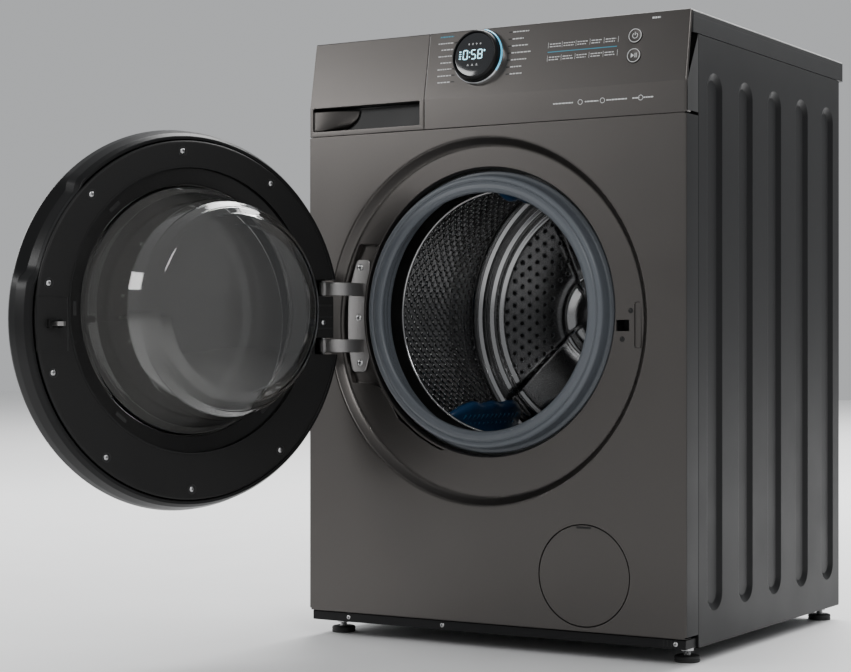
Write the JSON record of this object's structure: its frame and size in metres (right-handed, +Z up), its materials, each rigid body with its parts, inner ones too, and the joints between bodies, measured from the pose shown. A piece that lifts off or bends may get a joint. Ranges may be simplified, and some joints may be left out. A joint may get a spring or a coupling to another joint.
{
  "type": "front load washing machine",
  "caption": "Free-standing front load washing machine: steel cabinet, round glass door on a side hinge, perforated steel drum with lifters, detergent drawer, program dial and buttons.",
  "frame": {"origin": "middle of the bounding box's bottom face, on the floor, with the door open as stored", "axes": "+X to the machine's right seen from the front, +Y from the front towards the back, +Z up"},
  "size_m": [0.701, 1.0732, 0.85],
  "materials": {
    "titanium": "satin titanium-grey paint",
    "black_paint": "satin black paint",
    "black_plastic": "fine matt grain",
    "gloss_black": "gloss",
    "grey_plastic": "matt",
    "white_plastic": "matt",
    "zinc": "cast and plated",
    "chrome": "bright",
    "steel": "satin",
    "cast_iron": "as cast",
    "concrete": "rough, concrete coloured",
    "grey_rubber": "matt",
    "black_rubber": "matt",
    "smoked_glass": "clear, smoked",
    "navy_plastic": "satin",
    "board_green": "circuit board"
  },
  "bodies": {
    "cabinet": {"base_tray": "black_paint", "left_side_panel": "black_paint", "right_side_panel": "black_paint", "rear_panel": "black_paint", "rear_access_cover": "black_paint", "front_panel": "titanium", "top_cover": "black_paint", "control_fascia": "titanium", "control_board": "board_green", "detergent_housing": "white_plastic", "dial_trim_ring": "chrome", "dial_display": "gloss_black", "inlet_valve": "white_plastic", "drain_outlet": "grey_plastic", "cord_gland": "black_plastic", "door_lock": "black_plastic", "drain_pump": "white_plastic", "sump_hose": "black_rubber", "tub_front": "grey_plastic", "tub_rear": "grey_plastic", "tub_heater": "steel", "front_bearing": "steel", "rear_bearing": "steel", "front_counterweight": "concrete", "top_counterweight": "concrete", "left_spring": "steel", "right_spring": "steel", "left_damper": "steel", "right_damper": "steel", "door_gasket": "grey_rubber", "drive_belt": "black_rubber", "drive_motor": "cast_iron", "hinge_bracket": "zinc", "hinge_pin": "steel"},
    "drum": {"drum_shell": "steel", "lifter_1": "navy_plastic", "lifter_2": "navy_plastic", "lifter_3": "navy_plastic", "drum_spider": "cast_iron", "drum_pulley": "cast_iron"},
    "motor_rotor": {"motor_pulley": "steel"},
    "door": {"door_outer_ring": "gloss_black", "door_outer_window": "smoked_glass", "door_inner_frame": "black_plastic", "door_glass_bowl": "smoked_glass", "door_hinge_block": "black_plastic"},
    "latch": {"latch_hook": "zinc"},
    "drawer": {"drawer_front": "titanium", "drawer_tray": "grey_plastic", "siphon_cap": "navy_plastic"},
    "dial": {"dial_knob": "gloss_black"},
    "power": {"power_button": "titanium"},
    "start": {"start_button": "titanium"},
    "hatch": {"service_hatch": "titanium"},
    "filter": {"filter_cap": "grey_plastic"},
    "front_left_foot_body": {"front_left_foot": "black_rubber"},
    "front_right_foot_body": {"front_right_foot": "black_rubber"},
    "rear_left_foot_body": {"rear_left_foot": "black_rubber"},
    "rear_right_foot_body": {"rear_right_foot": "black_rubber"}
  },
  "joints": [
    {"name": "door_hinge", "type": "hinge", "parent": "cabinet", "child": "door", "pos_m": [-0.196, -0.06539, 0.455], "axis": [0, 0, 1], "range_deg": [-18, 107]},
    {"name": "latch_pivot", "type": "hinge", "parent": "door", "child": "latch", "pos_m": [-0.29652, -0.50365, 0.441], "axis": [0, 0, -1], "range_deg": [0, 8], "stiffness_Nm_per_rad": 0.05},
    {"name": "drawer_slide", "type": "slide", "parent": "cabinet", "child": "drawer", "axis": [0, -1, 0], "range_m": [0, 0.23]},
    {"name": "dial_turn", "type": "hinge", "parent": "cabinet", "child": "dial", "pos_m": [0.03601, -0.02237, 0.809], "axis": [0, 0.9858, -0.1678], "continuous": true},
    {"name": "power_press", "type": "slide", "parent": "cabinet", "child": "power", "axis": [0, 0.9858, -0.1678], "range_m": [0, 0.001], "stiffness_N_per_m": 600},
    {"name": "start_press", "type": "slide", "parent": "cabinet", "child": "start", "axis": [0, 0.9858, -0.1678], "range_m": [0, 0.001], "stiffness_N_per_m": 600},
    {"name": "drum_spin", "type": "hinge", "parent": "cabinet", "child": "drum", "pos_m": [0.04251, 0.18861, 0.461], "axis": [0, 1, 0], "continuous": true},
    {"name": "motor_spin", "type": "hinge", "parent": "cabinet", "child": "motor_rotor", "pos_m": [0.113, 0.42861, 0.112], "axis": [0, 1, 0], "continuous": true},
    {"name": "hatch_hinge", "type": "hinge", "parent": "cabinet", "child": "hatch", "pos_m": [0.13151, -0.03139, 0.11], "axis": [0, 0, -1], "range_deg": [0, 100]},
    {"name": "filter_turn", "type": "hinge", "parent": "cabinet", "child": "filter", "pos_m": [0.201, -0.01939, 0.11], "axis": [0, -1, 0], "range_deg": [0, 180]},
    {"name": "front_left_foot_turn", "type": "hinge", "parent": "cabinet", "child": "front_left_foot_body", "pos_m": [-0.22099, 0.02061, 0.02], "axis": [0, 0, 1], "continuous": true},
    {"name": "front_right_foot_turn", "type": "hinge", "parent": "cabinet", "child": "front_right_foot_body", "pos_m": [0.327, 0.02061, 0.02], "axis": [0, 0, 1], "continuous": true},
    {"name": "rear_left_foot_turn", "type": "hinge", "parent": "cabinet", "child": "rear_left_foot_body", "pos_m": [-0.22099, 0.49561, 0.02], "axis": [0, 0, 1], "continuous": true},
    {"name": "rear_right_foot_turn", "type": "hinge", "parent": "cabinet", "child": "rear_right_foot_body", "pos_m": [0.327, 0.49561, 0.02], "axis": [0, 0, 1], "continuous": true}
  ],
  "couplings": [
    {"joint": "motor_spin", "follows": "drum_spin", "ratio": 14}
  ]
}
